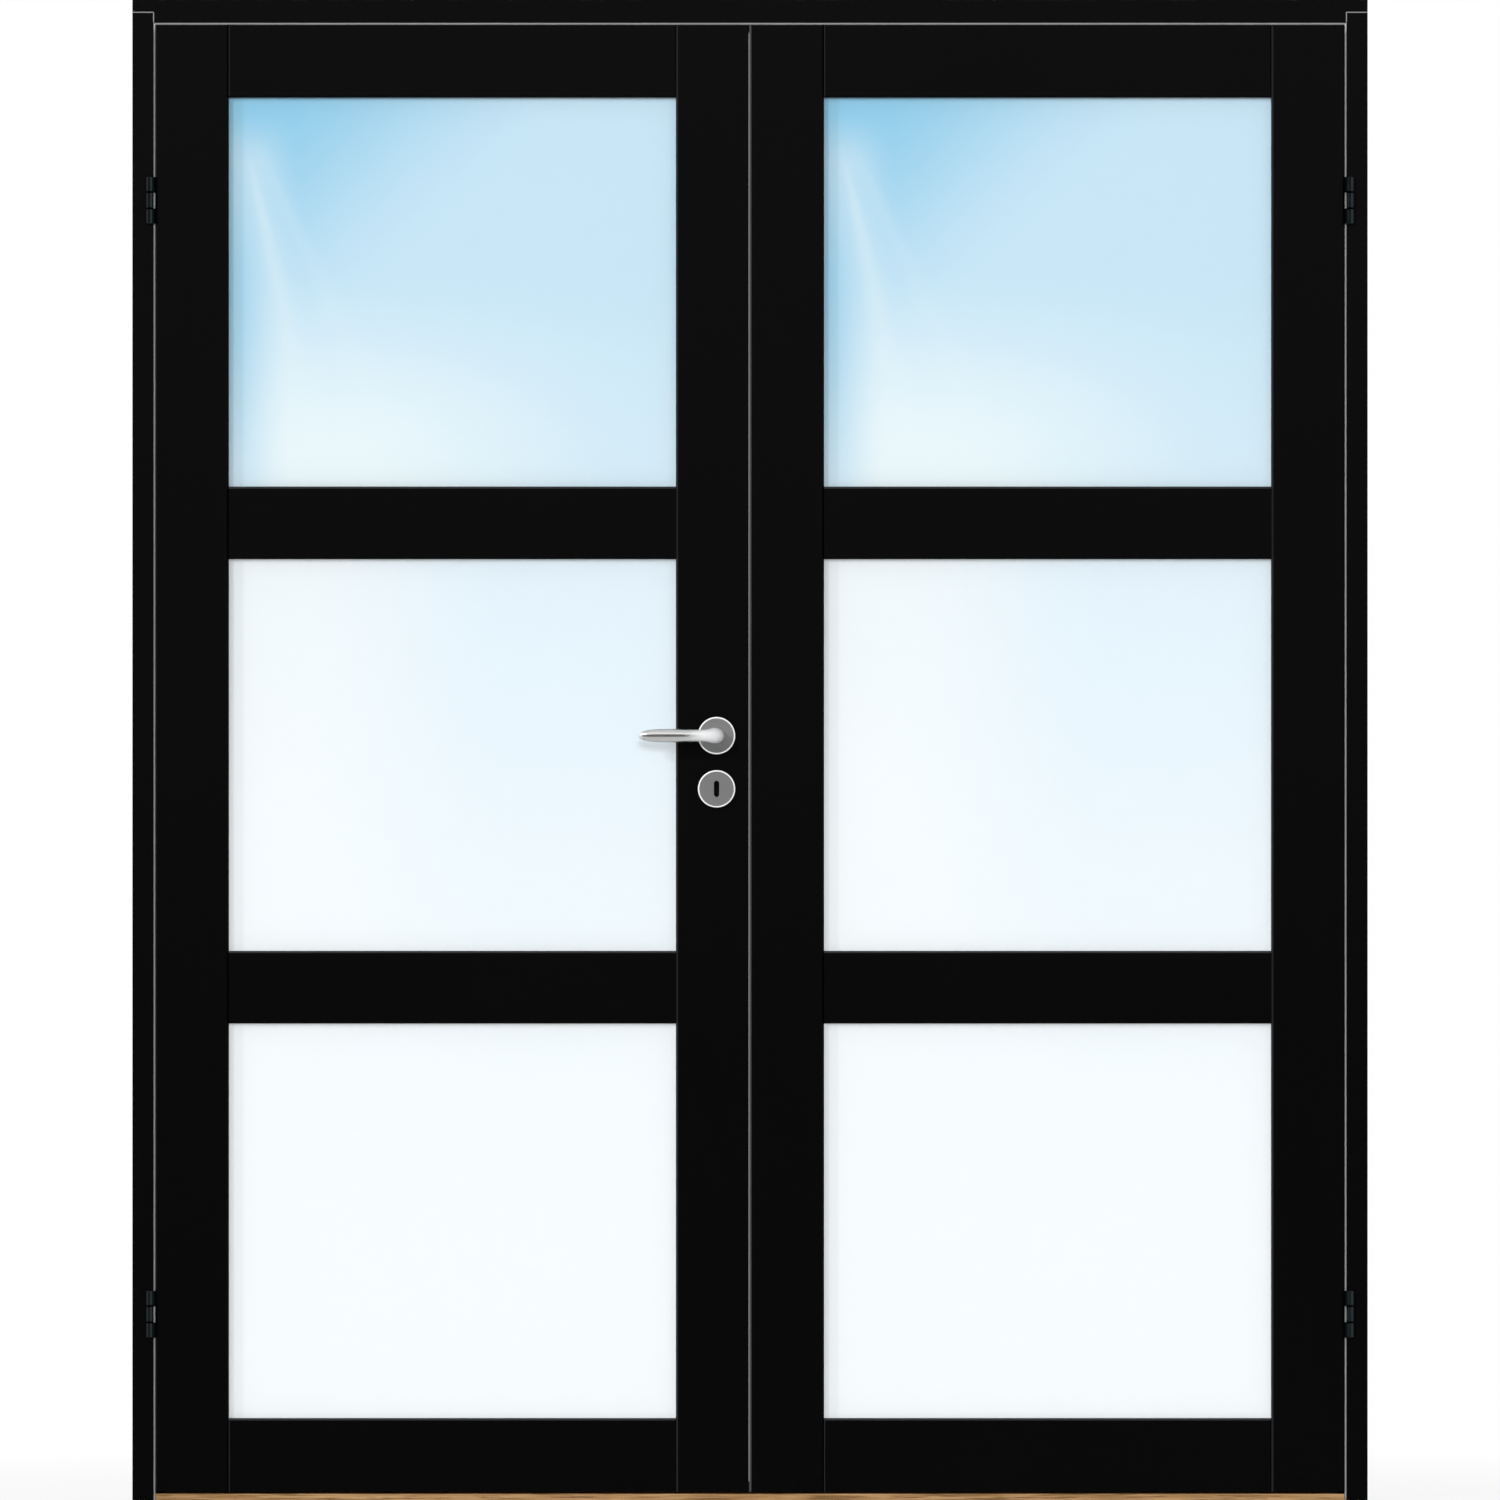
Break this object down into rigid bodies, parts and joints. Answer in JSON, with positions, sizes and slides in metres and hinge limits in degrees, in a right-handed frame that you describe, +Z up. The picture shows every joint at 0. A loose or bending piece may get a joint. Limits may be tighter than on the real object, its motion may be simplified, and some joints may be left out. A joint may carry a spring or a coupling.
{
  "type": "french door set",
  "caption": "French doors: black stile-and-rail leaves with glass panes in a rebated frame, with oak threshold, lever handle, mortise lock and flush bolts.",
  "frame": {"origin": "bottom centre of the frame, on the floor, halfway through its depth", "axes": "+Z up, +X to the right as seen from the hinge side, +Y through the doorway away from the hinge side"},
  "size_m": [1.718, 0.1562, 2.088],
  "materials": {
    "black_paint": "satin paint",
    "oak": "matt lacquer",
    "glass": "clear",
    "seal": "matt",
    "hinge_steel": "dark satin",
    "satin_steel": "satin",
    "zinc_steel": "zinc plated"
  },
  "bodies": {
    "frame": {"head": "black_paint", "left_jamb": "black_paint", "right_jamb": "black_paint", "threshold": "oak", "frame_seals": "seal", "wall_sleeves": "zinc_steel", "bolt_keepers": "zinc_steel", "hinge_pins": "hinge_steel", "frame_screws": "zinc_steel", "left_upper_hinge_frame_half": "hinge_steel", "left_lower_hinge_frame_half": "hinge_steel", "right_upper_hinge_frame_half": "hinge_steel", "right_lower_hinge_frame_half": "hinge_steel"},
    "left_leaf": {"left_hinge_stile": "black_paint", "left_meeting_stile": "black_paint", "left_top_rail": "black_paint", "left_upper_mid_rail": "black_paint", "left_lower_mid_rail": "black_paint", "left_bottom_rail": "black_paint", "left_bottom_glass": "glass", "left_middle_glass": "glass", "left_top_glass": "glass", "left_glazing_beads": "black_paint", "left_upper_hinge_leaf_half": "hinge_steel", "left_lower_hinge_leaf_half": "hinge_steel", "left_leaf_screws": "zinc_steel", "lock_case": "zinc_steel", "lock_forend": "zinc_steel", "tumblers": "zinc_steel", "front_rose": "satin_steel", "back_rose": "satin_steel", "front_escutcheon": "satin_steel", "back_escutcheon": "satin_steel", "handle_bases": "zinc_steel", "handle_bolts": "zinc_steel"},
    "right_leaf": {"right_hinge_stile": "black_paint", "right_meeting_stile": "black_paint", "right_top_rail": "black_paint", "right_upper_mid_rail": "black_paint", "right_lower_mid_rail": "black_paint", "right_bottom_rail": "black_paint", "right_bottom_glass": "glass", "right_middle_glass": "glass", "right_top_glass": "glass", "right_glazing_beads": "black_paint", "right_upper_hinge_leaf_half": "hinge_steel", "right_lower_hinge_leaf_half": "hinge_steel", "right_leaf_screws": "zinc_steel", "strike_plate": "zinc_steel", "meeting_seal": "seal", "bolt_plates": "zinc_steel"},
    "lever": {"front_lever": "satin_steel", "back_lever": "satin_steel", "spindle": "zinc_steel", "follower": "zinc_steel"},
    "latch": {"latch_bolt": "zinc_steel"},
    "deadbolt": {"deadbolt": "zinc_steel"},
    "upper_bolt": {"upper_flush_bolt": "zinc_steel"},
    "lower_bolt": {"lower_flush_bolt": "zinc_steel"}
  },
  "joints": [
    {"name": "left_leaf_swing", "type": "hinge", "parent": "frame", "child": "left_leaf", "pos_m": [-0.83485, -0.052, 1], "axis": [0, 0, -1], "range_deg": [0, 170]},
    {"name": "right_leaf_swing", "type": "hinge", "parent": "frame", "child": "right_leaf", "pos_m": [0.83485, -0.052, 1], "axis": [0, 0, 1], "range_deg": [0, 170]},
    {"name": "lever_turn", "type": "hinge", "parent": "left_leaf", "child": "lever", "pos_m": [-0.0465, -0.026, 1.064], "axis": [0, -1, 0], "range_deg": [0, 45], "stiffness_Nm_per_rad": 1.5, "springref_deg": -28.65},
    {"name": "latch_slide", "type": "slide", "parent": "left_leaf", "child": "latch", "axis": [-1, 0, 0], "range_m": [-0.012, 0]},
    {"name": "deadbolt_slide", "type": "slide", "parent": "left_leaf", "child": "deadbolt", "axis": [-1, 0, 0], "range_m": [-0.014, 0]},
    {"name": "upper_bolt_slide", "type": "slide", "parent": "right_leaf", "child": "upper_bolt", "axis": [0, 0, -1], "range_m": [-0.015, 0]},
    {"name": "lower_bolt_slide", "type": "slide", "parent": "right_leaf", "child": "lower_bolt", "axis": [0, 0, 1], "range_m": [-0.011, 0]}
  ]
}
